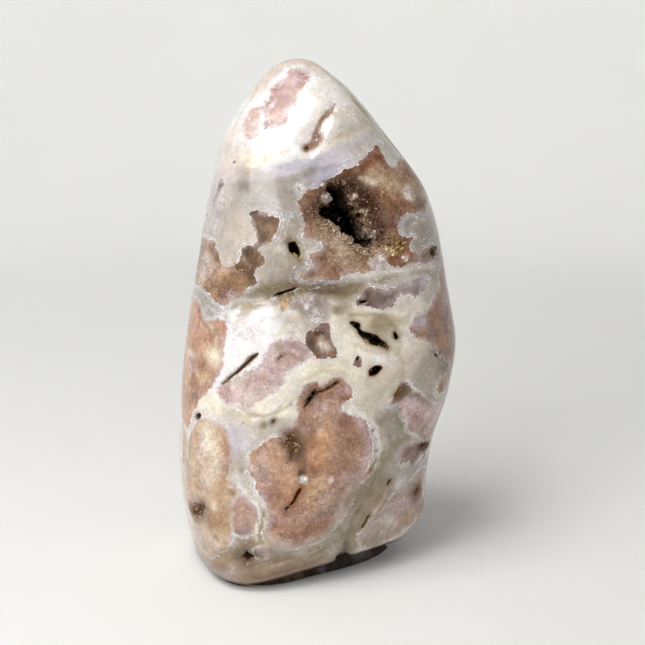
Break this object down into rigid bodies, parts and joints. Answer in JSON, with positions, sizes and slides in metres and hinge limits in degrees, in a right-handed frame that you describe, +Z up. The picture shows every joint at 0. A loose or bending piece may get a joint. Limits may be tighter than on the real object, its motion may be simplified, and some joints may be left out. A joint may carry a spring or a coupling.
{
  "type": "flower agate freeform",
  "caption": "Tall polished flower agate freeform, banded pale chalcedony round rose and brown druzy patches, with open crystal pockets and a flat ground base to stand on.",
  "frame": {"origin": "middle of the stone's footprint box, on the surface that it stands on", "axes": "+Z up from the ground base to the tip, -Y the pictured front, +X to the right seen from the front"},
  "size_m": [0.0901, 0.0697, 0.1599],
  "materials": {
    "polished_agate": "high polish on pale banded chalcedony, with satin druzy patches and rough open pockets"
  },
  "bodies": {
    "root": {"stone": "polished_agate"}
  },
  "joints": []
}
